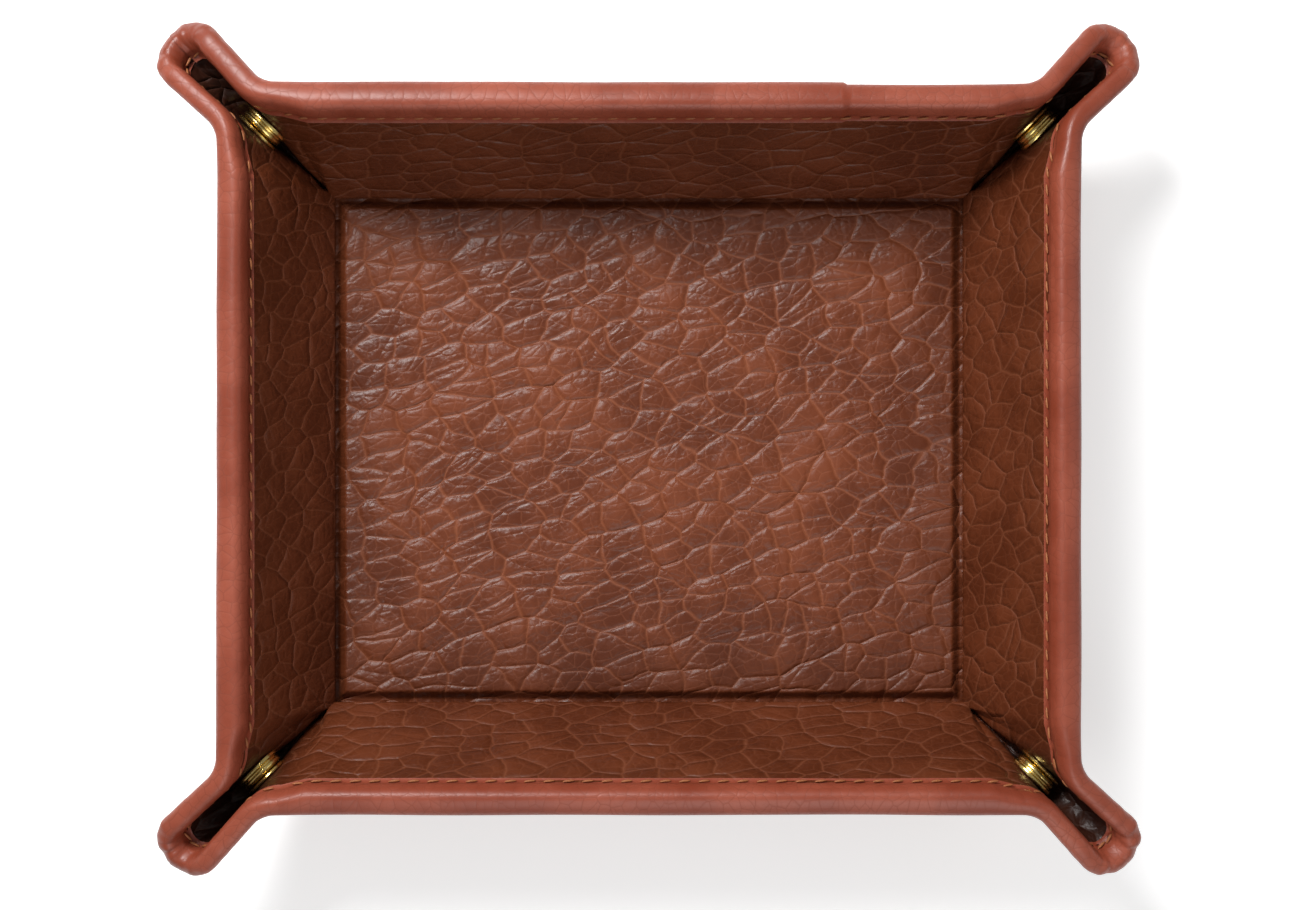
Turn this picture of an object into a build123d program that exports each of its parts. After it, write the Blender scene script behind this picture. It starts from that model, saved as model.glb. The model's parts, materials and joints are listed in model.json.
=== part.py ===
from build123d import *
from math import acos, atan2, cos, degrees, pi, radians, sin, sqrt, tan
import os

# A leather valet tray with snapped corners, in millimetres.
# A grained lining hide and a smooth cover hide sandwich a floor board and four wall boards.
# A folded binding strip closes the rim. At each corner the bare leather runs out as a fin,
# doubles back on itself and is held shut by one press stud, so the tray opens out flat.
# Frame: the tray stands on z = 0, centred on x = y = 0, long side along x, rear wall at +y.

# Tray
crease_length = 141.0
crease_width = 113.5
wall_slant = 39.0
flare_angle = 25.0
flat_corner_radius = 15.0

# Layers
cover_thickness = 1.4
lining_thickness = 1.2
floor_board_thickness = 2.0
wall_board_thickness = 1.6
crease_land = 1.8
board_inset = 3.0
board_rim_inset = 1.5
body_clearance = 0.15

# Binding strip over the rim
binding_thickness = 0.9
binding_crown = 1.2
binding_depth = 5.6

# Corner hide, on a view plane seen from the crease corner: shares of the distance from there
fin_view_angle = 50.0
fin_gap_share = 0.11
fin_bend_share = 0.22
corner_root = 7.0
fold_root = 15.0

# Corner hinges: how far each bend flattens, and the gap on each side of it
wall_swing = 62.0
fin_swing = 48.0
fold_swing = 75.0
hinge_gap_angle = 0.15
fold_gap_angle = 0.3
bevel_margin = 5.0

# Press stud, placed from the crease corner in the corner's plane of symmetry
snap_reach = 16.7
snap_height = 19.9
cap_radius = 6.3
cap_height = 2.0
cap_edge = 0.7
socket_radius = 5.3
socket_height = 2.7
socket_floor = 0.6
socket_bore = 2.9
socket_edge = 0.6
stud_radius = 5.2
stud_flange = 0.8
stud_head_radius = 2.25
stud_head_height = 1.8
stud_edge = 0.3
post_radius = 4.9
post_flange = 0.9
post_edge = 0.4
shank_radius = 1.3
shank_clearance = 0.05
snap_gap = 0.2
seat_sink = 0.35
seat_clearance = 0.1
swing_clearance = 0.6

# Outline of the corner hide
square_corner = 90.0
half_corner = square_corner / 2
most_straight_share = 0.5
outline_steps = 400
bisections = 40

# Derived sizes
wall_angle = radians(square_corner - flare_angle)
crease_mitre = (pi - wall_angle) / 2
mitre_taper = square_corner - degrees(crease_mitre)
mitre_step = lining_thickness / tan(crease_mitre)
slope_step = lining_thickness * tan(atan2(wall_board_thickness, board_inset - crease_land) / 2)
hinge_height = cover_thickness
overrun = 2 * wall_slant

os.makedirs("parts", exist_ok=True)


def save(part, label):
    part.label = label
    export_step(part, f"parts/{label}.step")


def spread(start, end, count):
    return [start + (end - start) * i / (count - 1) for i in range(count)]


# The corner hide is a cone with its point at the crease corner B. One ray stands for each angle
# of the flat hide: 0 at the wall's end, 45 at the fold on the corner's plane of symmetry.
# Local axes there: x out of the wall, y along the wall past its end, z up.
view = radians(fin_view_angle)
diagonal = Vector(1, 1, 0) / sqrt(2)
fin_side = Vector(1, -1, 0) / sqrt(2)
view_axis = diagonal * cos(view) + Vector(0, 0, 1) * sin(view)
view_down = diagonal * sin(view) - Vector(0, 0, 1) * cos(view)
wall_up = Vector(cos(wall_angle), 0, sin(wall_angle))
wall_normal = Vector(-sin(wall_angle), 0, cos(wall_angle))


def corner_outline(straight_end):
    """Points across the view plane from wall end to fold: wall, bend, fin, quarter turn."""
    start_p = wall_up.dot(fin_side) / wall_up.dot(view_axis)
    start_q = wall_up.dot(view_down) / wall_up.dot(view_axis)
    wall_p = -wall_normal.dot(view_axis) / wall_normal.dot(fin_side)
    wall_slope = -wall_normal.dot(view_down) / wall_normal.dot(fin_side)
    lean = atan2(-wall_slope, 1)
    tangent = fin_bend_share * tan(lean / 2)
    meet_q = (fin_gap_share - wall_p) / wall_slope
    bend_p = fin_gap_share + tangent * sin(lean)
    bend_q = meet_q - tangent * cos(lean)
    fin_q = meet_q + tangent
    points = []
    for t in spread(0, 1, outline_steps)[:-1]:
        points.append((start_p + (bend_p - start_p) * t, start_q + (bend_q - start_q) * t))
    for t in spread(lean, 0, outline_steps)[:-1]:
        p = fin_gap_share + fin_bend_share * (1 - cos(t))
        points.append((p, fin_q - fin_bend_share * sin(t)))
    for t in spread(0, 1, outline_steps)[:-1]:
        points.append((fin_gap_share, fin_q + (straight_end - fin_q) * t))
    for t in spread(0, pi / 2, outline_steps):
        points.append((fin_gap_share * cos(t), straight_end + fin_gap_share * sin(t)))
    return points


def measure(points):
    """Rays through an outline, and the angle of the flat hide used up at each, in degrees."""
    rays = [(view_axis + fin_side * p + view_down * q).normalized() for p, q in points]
    angles = [0.0]
    for one, two in zip(rays, rays[1:]):
        angles.append(angles[-1] + degrees(acos(min(1.0, one.dot(two)))))
    return rays, angles


# The fin runs straight just far enough for the outline to use up half of the square corner
shortest, longest = 0.0, most_straight_share
for _ in range(bisections):
    straight_end = (shortest + longest) / 2
    if measure(corner_outline(straight_end))[1][-1] < half_corner:
        shortest = straight_end
    else:
        longest = straight_end
rays, angles = measure(corner_outline(straight_end))
bend_start, bend_end, fold_start = [angles[k * (outline_steps - 1)] for k in (1, 2, 3)]
half_way = outline_steps // 2
fin_hinge = angles[outline_steps - 1 + half_way]
fold_hinge = angles[3 * (outline_steps - 1) + half_way]


def ray_at(angle):
    """Ray, lining-side normal and onward direction of the corner hide at one flat angle."""
    i = next((k for k, used in enumerate(angles) if used >= angle), len(angles) - 1)
    i = max(1, min(len(angles) - 2, i))
    t = (angle - angles[i - 1]) / (angles[i] - angles[i - 1])
    ray = (rays[i - 1] * (1 - t) + rays[i] * t).normalized()
    onward = (rays[i + 1] - rays[i - 1]).normalized()
    normal = ray.cross(onward).normalized()
    return ray, normal, normal.cross(ray)


def rim_at(angle):
    """Distance from B to the rim of the flat hide, which has a rounded corner."""
    turn = radians(angle)
    if tan(turn) <= (wall_slant - flat_corner_radius) / wall_slant:
        return wall_slant / cos(turn)
    to_centre = (wall_slant - flat_corner_radius) * sqrt(2)
    off = to_centre * sin(pi / 4 - turn)
    return to_centre * cos(pi / 4 - turn) + sqrt(flat_corner_radius**2 - off**2)


def root_at(angle):
    """Distance from B where the corner hide starts, further out where it is bent sharper."""
    share = min(1, max(0, (angle - bend_start) / (bend_end - bend_start)))
    return corner_root + (fold_root - corner_root) * share


def lift_at(angle):
    """How far the lining still stands off the cover past the end of the wall board."""
    return wall_board_thickness * max(0, 1 - angle / bend_start)


def turned(corner, v):
    """A direction in a corner's local axes, carried into the tray's frame."""
    sign_x, sign_y, side = corner
    if side == "x":
        return Vector(sign_x * v.X, sign_y * v.Y, v.Z)
    return Vector(sign_x * v.Y, sign_y * v.X, v.Z)


def corner_point(corner):
    return Vector(corner[0] * crease_length / 2, corner[1] * crease_width / 2, hinge_height)


def section_plane(corner, angle):
    """Plane across the hide along one ray: x runs out from B, y to the lining side."""
    ray, normal = (turned(corner, v) for v in ray_at(angle)[:2])
    return Plane(origin=corner_point(corner), x_dir=ray, z_dir=ray.cross(normal))


def bevel_plane(corner, angle, lean):
    """Plane through one ray, facing onward along the hide and tipped by lean to the lining side."""
    ray, normal, onward = (turned(corner, v) for v in ray_at(angle))
    facing = onward * cos(radians(lean)) + normal * sin(radians(lean))
    return Plane(origin=corner_point(corner), x_dir=ray, z_dir=facing)


def half_plane(corner):
    """Just off the corner's plane of symmetry, facing the corner's own half."""
    outward = turned(corner, fin_side)
    origin = corner_point(corner) + outward * body_clearance
    return Plane(origin=origin, x_dir=Vector(0, 0, 1), z_dir=outward)


def snap_plane(corner, offset):
    """Plane of the press stud, at an offset out from the corner's plane of symmetry."""
    local = diagonal * snap_reach + Vector(0, 0, snap_height) + fin_side * offset
    origin = corner_point(corner) + turned(corner, local)
    return Plane(origin=origin, x_dir=Vector(0, 0, 1), z_dir=turned(corner, fin_side))


def disc(corner, offset, radius, height, mode=Mode.ADD):
    """A round of the press stud, from an offset outwards, or inwards for a negative height."""
    with BuildSketch(snap_plane(corner, offset)) as face:
        Circle(radius)
    extrude(face.sketch, amount=height, mode=mode)


def hide_loft(corner, flat_angles, low_layer, high_layer):
    """Corner hide between two layers, each given as offset plus its share of the board's lift."""
    sections = []
    for angle in flat_angles:
        low = low_layer[0] + low_layer[1] * lift_at(angle)
        high = high_layer[0] + high_layer[1] * lift_at(angle)
        root = root_at(angle)
        reach = rim_at(angle)
        with BuildSketch(section_plane(corner, angle)) as section:
            with Locations(((root + reach) / 2, (low + high) / 2)):
                Rectangle(reach - root, high - low)
        sections.append(section.sketch)
    loft(sections, ruled=True)


def binding_section(plane, reach, lining_side):
    """U-shaped section of the binding over a rim at x = reach of a plane."""
    cover_side = -cover_thickness
    low = cover_side - binding_thickness
    high = lining_side + binding_thickness
    top = reach + binding_crown
    shoulder = top - (high - low) / 2
    inner = reach - binding_depth
    with BuildSketch(plane) as section:
        with BuildLine():
            Line((inner, low), (shoulder, low))
            ThreePointArc((shoulder, low), (top, (low + high) / 2), (shoulder, high))
            Polyline(
                (shoulder, high),
                (inner, high),
                (inner, lining_side),
                (reach, lining_side),
                (reach, cover_side),
                (inner, cover_side),
                (inner, low),
            )
        make_face()
    return section.sketch


def binding_loft(corner, flat_angles):
    sections = []
    for angle in flat_angles:
        lining_side = lift_at(angle) + lining_thickness
        sections.append(binding_section(section_plane(corner, angle), rim_at(angle), lining_side))
    loft(sections, ruled=True)


# Layers of the corner hide: offset, and share of the board's lift
cover_back = (-cover_thickness, 0)
cover_face = (0, 0)
lining_back = (0, 1)
lining_face = (lining_thickness, 1)

# Sections of the wall's corner, the fin and the fold
wall_sections = [0] + spread(bend_start, fin_hinge - hinge_gap_angle, 5)
fin_sections = (
    spread(fin_hinge + hinge_gap_angle, bend_end, 5)[:-1]
    + spread(bend_end, fold_start, 5)[:-1]
    + spread(fold_start, fold_hinge - hinge_gap_angle, 5)
)
fold_sections = spread(fold_hinge + hinge_gap_angle, half_corner - fold_gap_angle, 6)
fin_bevel = fin_swing / 2 + bevel_margin
fold_bevel = fold_swing / 2 + bevel_margin

# Seats of the press stud, as distances from the plane of symmetry
snap_depth = snap_reach * cos(view) + snap_height * sin(view)
hide_offset = fin_gap_share * snap_depth
inner_seat = (socket_height + snap_gap + stud_flange) / 2
outer_seat = hide_offset + cover_thickness - seat_sink
swing_seat = outer_seat - body_clearance

# Walls: the side that faces out, and its sign
walls = {"front": ("y", -1), "rear": ("y", 1), "left": ("x", -1), "right": ("x", 1)}


def wall_ends(side, sign):
    """The two corner halves that a wall carries, as sign in x, sign in y and side."""
    if side == "x":
        return [(sign, end, side) for end in (-1, 1)]
    return [(end, sign, side) for end in (-1, 1)]


def corner_name(corner):
    return f"{'rear' if corner[1] > 0 else 'front'}_{'right' if corner[0] > 0 else 'left'}"


def has_socket(corner):
    """The sockets go round the tray like a pinwheel, one on each wall."""
    return (corner[2] == "y") == (corner[0] * corner[1] < 0)


def outside_radius(corner):
    return cap_radius if has_socket(corner) else post_radius


# Floor
with BuildPart() as floor_cover:
    with BuildSketch():
        Rectangle(crease_length - body_clearance, crease_width - body_clearance)
    extrude(amount=cover_thickness)
save(floor_cover.part, "floor_cover")

with BuildPart() as floor_board:
    with BuildSketch(Plane.XY.offset(hinge_height)):
        Rectangle(crease_length - 2 * board_inset, crease_width - 2 * board_inset)
    extrude(amount=floor_board_thickness)
save(floor_board.part, "floor_board")

with BuildPart() as floor_lining:
    with BuildSketch(Plane.XY.offset(hinge_height)):
        Rectangle(crease_length - body_clearance, crease_width - body_clearance)
    extrude(amount=lining_thickness, taper=mitre_taper)
    floor_top = hinge_height + floor_board_thickness + lining_thickness
    for level, inset in ((hinge_height + lining_thickness, crease_land), (floor_top, board_inset)):
        inset_to_face = inset - slope_step
        with BuildSketch(Plane.XY.offset(level)):
            Rectangle(crease_length - 2 * inset_to_face, crease_width - 2 * inset_to_face)
    loft()
    add(floor_board.part, mode=Mode.SUBTRACT)
save(floor_lining.part, "floor_lining")

# Walls
for wall, (side, sign) in walls.items():
    ends = wall_ends(side, sign)
    crease = crease_width if side == "x" else crease_length
    foot = (corner_point(ends[0]) + corner_point(ends[1])) / 2
    up = turned(ends[0], wall_up)
    inward = turned(ends[0], wall_normal)
    wall_plane = Plane(origin=foot, x_dir=up, z_dir=up.cross(inward))

    with BuildPart() as wall_board:
        with BuildSketch(wall_plane):
            with BuildLine():
                Polyline(
                    (board_inset, 0),
                    (wall_slant - board_rim_inset, 0),
                    (wall_slant - board_rim_inset, wall_board_thickness),
                    (board_inset, wall_board_thickness),
                    close=True,
                )
            make_face()
        extrude(amount=crease / 2, both=True)
        for corner in ends:
            split(bisect_by=half_plane(corner), keep=Keep.TOP)
    save(wall_board.part, f"{wall}_board")

    with BuildPart() as wall_lining:
        for corner in ends:
            hide_loft(corner, wall_sections, lining_back, lining_face)
        with BuildSketch(wall_plane):
            with BuildLine():
                Polyline(
                    (body_clearance, 0),
                    (board_inset, 0),
                    (board_inset, wall_board_thickness),
                    (wall_slant, wall_board_thickness),
                    (wall_slant, wall_board_thickness + lining_thickness),
                    (board_inset - slope_step, wall_board_thickness + lining_thickness),
                    (crease_land - slope_step, lining_thickness),
                    (body_clearance + mitre_step, lining_thickness),
                    close=True,
                )
            make_face()
        extrude(amount=crease / 2, both=True)
        for corner in ends:
            split(bisect_by=bevel_plane(corner, fin_hinge, fin_bevel), keep=Keep.BOTTOM)
            split(bisect_by=half_plane(corner), keep=Keep.TOP)
            disc(corner, swing_seat, outside_radius(corner) + swing_clearance, overrun, mode=Mode.SUBTRACT)
    save(wall_lining.part, f"{wall}_lining")

    with BuildPart() as wall_cover:
        for corner in ends:
            hide_loft(corner, wall_sections, cover_back, cover_face)
        with BuildSketch(wall_plane):
            with Locations(((wall_slant + body_clearance) / 2, -cover_thickness / 2)):
                Rectangle(wall_slant - body_clearance, cover_thickness)
        extrude(amount=crease / 2, both=True)
        for corner in ends:
            disc(corner, swing_seat, outside_radius(corner) + swing_clearance, overrun, mode=Mode.SUBTRACT)
    save(wall_cover.part, f"{wall}_cover")

    with BuildPart() as wall_binding:
        for corner in ends:
            binding_loft(corner, wall_sections)
        section = binding_section(wall_plane, wall_slant, wall_board_thickness + lining_thickness)
        extrude(section, amount=crease / 2, both=True)
        for corner in ends:
            split(bisect_by=bevel_plane(corner, fin_hinge, fin_bevel), keep=Keep.BOTTOM)
    save(wall_binding.part, f"{wall}_binding")

    for corner in ends:
        place = f"{corner_name(corner)}_{wall}"
        inside_radius = socket_radius if has_socket(corner) else stud_radius
        hole = shank_radius + shank_clearance

        with BuildPart() as fin:
            hide_loft(corner, fin_sections, cover_back, lining_face)
            disc(corner, inner_seat, inside_radius + seat_clearance, -overrun, mode=Mode.SUBTRACT)
            disc(corner, outer_seat, outside_radius(corner) + seat_clearance, overrun, mode=Mode.SUBTRACT)
            disc(corner, 0, hole, overrun, mode=Mode.SUBTRACT)
            split(bisect_by=bevel_plane(corner, fin_hinge, -fin_bevel), keep=Keep.TOP)
            split(bisect_by=bevel_plane(corner, fold_hinge, -fold_bevel), keep=Keep.BOTTOM)
        save(fin.part, f"fin_{place}")

        with BuildPart() as fin_binding:
            binding_loft(corner, fin_sections)
            split(bisect_by=bevel_plane(corner, fin_hinge, -fin_bevel), keep=Keep.TOP)
            split(bisect_by=bevel_plane(corner, fold_hinge, -fold_bevel), keep=Keep.BOTTOM)
        save(fin_binding.part, f"fin_binding_{place}")

        with BuildPart() as fold:
            hide_loft(corner, fold_sections, cover_back, lining_face)
            binding_loft(corner, fold_sections)
            disc(corner, inner_seat, socket_radius + body_clearance, -overrun, mode=Mode.SUBTRACT)
            split(bisect_by=bevel_plane(corner, fold_hinge, fold_bevel), keep=Keep.TOP)
        save(fold.part, f"fold_{place}")

        snap_axis = Axis(snap_plane(corner, 0).origin, snap_plane(corner, 0).z_dir)
        if has_socket(corner):
            with BuildPart() as socket:
                disc(corner, inner_seat, socket_radius, -socket_height)
                rim = socket.edges().filter_by(GeomType.CIRCLE).sort_by(snap_axis)[0]
                chamfer(rim, socket_edge)
                disc(corner, inner_seat - socket_floor, socket_bore, -overrun, mode=Mode.SUBTRACT)
                disc(corner, inner_seat, hole, -overrun, mode=Mode.SUBTRACT)
            save(socket.part, f"snap_socket_{corner_name(corner)}")

            with BuildPart() as cap:
                disc(corner, outer_seat, cap_radius, cap_height)
                fillet(cap.edges().filter_by(GeomType.CIRCLE).sort_by(snap_axis)[-1], cap_edge)
                disc(corner, outer_seat, shank_radius, inner_seat - socket_floor - outer_seat)
            save(cap.part, f"snap_cap_{corner_name(corner)}")
        else:
            with BuildPart() as stud:
                disc(corner, inner_seat, stud_radius, -stud_flange)
                disc(corner, inner_seat - stud_flange, stud_head_radius, -stud_head_height)
                fillet(stud.edges().filter_by(GeomType.CIRCLE).sort_by(snap_axis)[0], stud_edge)
                disc(corner, inner_seat, hole, -stud_flange, mode=Mode.SUBTRACT)
            save(stud.part, f"snap_stud_{corner_name(corner)}")

            with BuildPart() as post:
                disc(corner, outer_seat, post_radius, post_flange)
                fillet(post.edges().filter_by(GeomType.CIRCLE).sort_by(snap_axis)[-1], post_edge)
                disc(corner, outer_seat, shank_radius, inner_seat - stud_flange - outer_seat)
            save(post.part, f"snap_post_{corner_name(corner)}")
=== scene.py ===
import json
from math import acos, atan2, cos, degrees, pi, radians, sin, sqrt, tan

import bmesh
import bpy
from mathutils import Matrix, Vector, noise


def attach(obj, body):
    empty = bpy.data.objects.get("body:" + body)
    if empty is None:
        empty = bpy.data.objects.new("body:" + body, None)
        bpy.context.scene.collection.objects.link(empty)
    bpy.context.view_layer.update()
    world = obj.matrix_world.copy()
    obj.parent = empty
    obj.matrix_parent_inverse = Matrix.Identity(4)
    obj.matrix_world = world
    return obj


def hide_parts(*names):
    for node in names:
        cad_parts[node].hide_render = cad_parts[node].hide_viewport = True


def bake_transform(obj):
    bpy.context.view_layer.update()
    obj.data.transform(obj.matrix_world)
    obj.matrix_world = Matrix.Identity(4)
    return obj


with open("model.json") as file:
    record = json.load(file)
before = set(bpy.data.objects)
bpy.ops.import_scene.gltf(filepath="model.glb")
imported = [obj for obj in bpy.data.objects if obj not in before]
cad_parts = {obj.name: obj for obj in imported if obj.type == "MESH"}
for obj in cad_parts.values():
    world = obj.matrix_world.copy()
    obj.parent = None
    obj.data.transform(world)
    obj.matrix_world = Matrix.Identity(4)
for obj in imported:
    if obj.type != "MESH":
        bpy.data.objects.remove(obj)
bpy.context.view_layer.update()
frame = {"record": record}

# Grained lining on the floor.
# One hide of heavily pebbled leather lines the whole tray, glued over the floor board; pressed
# down along the creases, it leaves a groove round the floor panel.
crease_length = 0.141
crease_width = 0.1135
hinge_height = 0.0014
lining_thickness = 0.0012
floor_board_thickness = 0.002
mitre_inset = 0.00076
groove_start = 0.0013
groove_end = 0.0036
floor_hide_thickness = 0.001
# Reach of the painted shade towards the floor's creases, and where the painted near-black shade of the
# pinched corners starts and ends past them.
painted_shade_reach = 0.026
corner_shade_start = 0.002
corner_shade_end = 0.013
soft_start = 0.008


def ease(low, high, value):
    share = min(1.0, max(0.0, (value - low) / (high - low)))
    return share * share * (3 - 2 * share)


def add_piece(name, shape):
    """Turn a bmesh into an object of the scene."""
    mesh = bpy.data.meshes.new(name)
    shape.to_mesh(mesh)
    shape.free()
    piece = bpy.data.objects.new(name, mesh)
    bpy.context.scene.collection.objects.link(piece)
    return piece


def lay_panel(name, columns, rows, place, flat, turn_over=False):
    """Lay a sheet: place puts a share across and a share up in the tray, flat in the cut hide."""
    sheet = bmesh.new()
    pattern = sheet.loops.layers.uv.new("hide")
    bmesh.ops.create_grid(sheet, x_segments=columns, y_segments=rows, size=1.0)
    wide = max(vert.co.x for vert in sheet.verts)
    for face in sheet.faces:
        face.smooth = True
        for loop in face.loops:
            co = loop.vert.co
            loop[pattern].uv = flat((co.x / wide + 1) / 2, (co.y / wide + 1) / 2)
    for vert in sheet.verts:
        vert.co = place((vert.co.x / wide + 1) / 2, (vert.co.y / wide + 1) / 2)
    bmesh.ops.remove_doubles(sheet, verts=sheet.verts, dist=0.00001)
    for edge in sheet.edges:
        edge.smooth = not edge.is_boundary
    if turn_over:
        bmesh.ops.reverse_faces(sheet, faces=sheet.faces)
    return add_piece(name, sheet)


def give_thickness(piece, thickness):
    body = piece.modifiers.new("hide thickness", "SOLIDIFY")
    body.thickness = thickness
    body.offset = -1.0


def crowd_edges(share):
    """Shares drawn together at both ends, where the groove needs more points."""
    return share - 0.85 * sin(2 * pi * share) / (2 * pi)


def floor_flat(across, up):
    x = (crowd_edges(across) - 0.5) * (crease_length - 2 * mitre_inset)
    y = (crowd_edges(up) - 0.5) * (crease_width - 2 * mitre_inset)
    return x, y


def floor_place(across, up):
    x, y = floor_flat(across, up)
    inset = min(crease_length / 2 - abs(x), crease_width / 2 - abs(y))
    rise = floor_board_thickness * ease(groove_start, groove_end, inset)
    soft = 0.00025 * noise.noise(Vector((x * 90, y * 90, 3.0)))
    level = hinge_height + lining_thickness + rise + soft * ease(groove_end, soft_start, inset)
    return Vector((x, y, level))


def socket_in(group, kind, label, value=None):
    socket = group.interface.new_socket(name=label, in_out="INPUT", socket_type=kind)
    if value is not None:
        socket.default_value = value


def socket_out(group, kind, label):
    group.interface.new_socket(name=label, in_out="OUTPUT", socket_type=kind)


def add_node(tree, kind, links=(), **settings):
    """Add a shader node with its settings; links give (input, source socket or number)."""
    node = tree.nodes.new(kind)
    for key, value in settings.items():
        setattr(node, key, value)
    for label, source in links:
        if hasattr(source, "is_output"):
            tree.links.new(source, node.inputs[label])
        else:
            node.inputs[label].default_value = source
    return node


def ramp_range(tree, value, low, high, to_low=0.0, to_high=1.0):
    links = [(0, value), (1, low), (2, high), (3, to_low), (4, to_high)]
    node = add_node(tree, "ShaderNodeMapRange", links, interpolation_type="SMOOTHSTEP")
    return node.outputs[0]


def blend_colour(tree, factor, first, second, mode="MIX"):
    node = add_node(tree, "ShaderNodeMix", data_type="RGBA", blend_type=mode)
    for label, source in (("Factor", factor), ("A", first), ("B", second)):
        sockets = [s for s in node.inputs if s.name == label and (label == "Factor") == (s.type == "VALUE")]
        socket = next(s for s in sockets if s.enabled)
        if hasattr(source, "is_output"):
            tree.links.new(source, socket)
        else:
            socket.default_value = source
    return next(s for s in node.outputs if s.enabled)


def reckon(tree, operation, *values):
    node = add_node(tree, "ShaderNodeMath", list(enumerate(values)), operation=operation)
    return node.outputs[0]


# Pebbled grain: domed cells a few millimetres wide, split by creases, with pores on top
pebble = bpy.data.node_groups.new("pebbled grain", "ShaderNodeTree")
socket_in(pebble, "NodeSocketVector", "Vector")
socket_in(pebble, "NodeSocketFloat", "Cells Per Metre", 130.0)
socket_in(pebble, "NodeSocketFloat", "Slant", 0.38)
socket_in(pebble, "NodeSocketFloat", "Stretch", 0.62)
socket_out(pebble, "NodeSocketFloat", "Height")
socket_out(pebble, "NodeSocketFloat", "Creases")
socket_out(pebble, "NodeSocketFloat", "Mottle")
given = pebble.nodes.new("NodeGroupInput").outputs
turn_back = reckon(pebble, "MULTIPLY", given["Slant"], -1.0)
turned_hide = add_node(pebble, "ShaderNodeVectorRotate",
                       [("Vector", given["Vector"]), ("Angle", turn_back)], rotation_type="Z_AXIS")
stretch_by = add_node(pebble, "ShaderNodeCombineXYZ", [("X", given["Stretch"]), ("Y", 1.0), ("Z", 1.0)])
stretched = add_node(pebble, "ShaderNodeVectorMath",
                     [(0, turned_hide.outputs[0]), (1, stretch_by.outputs[0])], operation="MULTIPLY")
wander = add_node(pebble, "ShaderNodeTexNoise",
                  [("Vector", stretched.outputs[0]), ("Scale", 75.0), ("Detail", 2.0), ("Roughness", 0.5)])
centred = add_node(pebble, "ShaderNodeVectorMath",
                   [(0, wander.outputs["Color"]), (1, (0.5, 0.5, 0.5))], operation="SUBTRACT")
shifted = add_node(pebble, "ShaderNodeVectorMath",
                   [(0, centred.outputs[0]), (1, (0.0050, 0.0050, 0.0))], operation="MULTIPLY")
fine_wander = add_node(
    pebble, "ShaderNodeTexNoise",
    [("Vector", stretched.outputs[0]), ("Scale", 260.0), ("Detail", 1.0), ("Roughness", 0.5)])
fine_centred = add_node(pebble, "ShaderNodeVectorMath",
                        [(0, fine_wander.outputs["Color"]), (1, (0.5, 0.5, 0.5))], operation="SUBTRACT")
fine_shifted = add_node(pebble, "ShaderNodeVectorMath",
                        [(0, fine_centred.outputs[0]), (1, (0.0009, 0.0009, 0.0))], operation="MULTIPLY")
once_warped = add_node(pebble, "ShaderNodeVectorMath",
                       [(0, stretched.outputs[0]), (1, shifted.outputs[0])], operation="ADD")
warped = add_node(pebble, "ShaderNodeVectorMath",
                  [(0, once_warped.outputs[0]), (1, fine_shifted.outputs[0])], operation="ADD")
cells = add_node(pebble, "ShaderNodeTexVoronoi",
                 [("Vector", warped.outputs[0]), ("Scale", given["Cells Per Metre"])],
                 feature="DISTANCE_TO_EDGE", voronoi_dimensions="2D")
domes = add_node(pebble, "ShaderNodeTexVoronoi",
                 [("Vector", warped.outputs[0]), ("Scale", given["Cells Per Metre"])],
                 feature="F1", voronoi_dimensions="2D")
small_cells = add_node(pebble, "ShaderNodeTexVoronoi",
                       [("Vector", warped.outputs[0]),
                        ("Scale", reckon(pebble, "MULTIPLY", given["Cells Per Metre"], 2.3))],
                       feature="DISTANCE_TO_EDGE", voronoi_dimensions="2D")
long_folds = add_node(pebble, "ShaderNodeTexVoronoi",
                      [("Vector", warped.outputs[0]),
                       ("Scale", reckon(pebble, "MULTIPLY", given["Cells Per Metre"], 0.31))],
                      feature="DISTANCE_TO_EDGE", voronoi_dimensions="2D")
pores = add_node(pebble, "ShaderNodeTexNoise",
                 [("Vector", given["Vector"]), ("Scale", 1900.0), ("Detail", 3.0), ("Roughness", 0.6)])
patches = add_node(pebble, "ShaderNodeTexNoise",
                   [("Vector", given["Vector"]), ("Scale", 42.0), ("Detail", 5.0), ("Roughness", 0.6)])


def pillow(distance, reach):
    """Height of a rounded cell: steep at its edge and nearly level in the middle."""
    share = reckon(pebble, "MINIMUM", reckon(pebble, "DIVIDE", distance, reach), 1.0)
    short = reckon(pebble, "SUBTRACT", 1.0, share)
    return reckon(pebble, "SUBTRACT", 1.0, reckon(pebble, "POWER", short, 1.9))


swollen = ramp_range(pebble, patches.outputs["Fac"], 0.35, 0.65, 0.45, 1.0)
round_top = reckon(pebble, "SUBTRACT", 1.0, reckon(pebble, "POWER", domes.outputs["Distance"], 2.0))
rounded = reckon(pebble, "MULTIPLY_ADD", pillow(cells.outputs["Distance"], 0.20), 0.42, round_top)
cell_dome = reckon(pebble, "MULTIPLY", rounded, swollen)
small_dome = pillow(small_cells.outputs["Distance"], 0.30)
fold_dome = pillow(long_folds.outputs["Distance"], 0.10)
height = reckon(pebble, "MULTIPLY", cell_dome, 0.62)
height = reckon(pebble, "MULTIPLY_ADD", small_dome, 0.05, height)
height = reckon(pebble, "MULTIPLY_ADD", fold_dome, 0.14, height)
height = reckon(pebble, "MULTIPLY_ADD", pores.outputs["Fac"], 0.035, height)
crease_line = ramp_range(pebble, cells.outputs["Distance"], 0.0, 0.075, 1.0, 0.0)
small_line = ramp_range(pebble, small_cells.outputs["Distance"], 0.0, 0.08, 0.42, 0.0)
given_out = pebble.nodes.new("NodeGroupOutput").inputs
pebble.links.new(height, given_out["Height"])
pebble.links.new(reckon(pebble, "MAXIMUM", crease_line, small_line), given_out["Creases"])
pebble.links.new(patches.outputs["Fac"], given_out["Mottle"])


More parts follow.
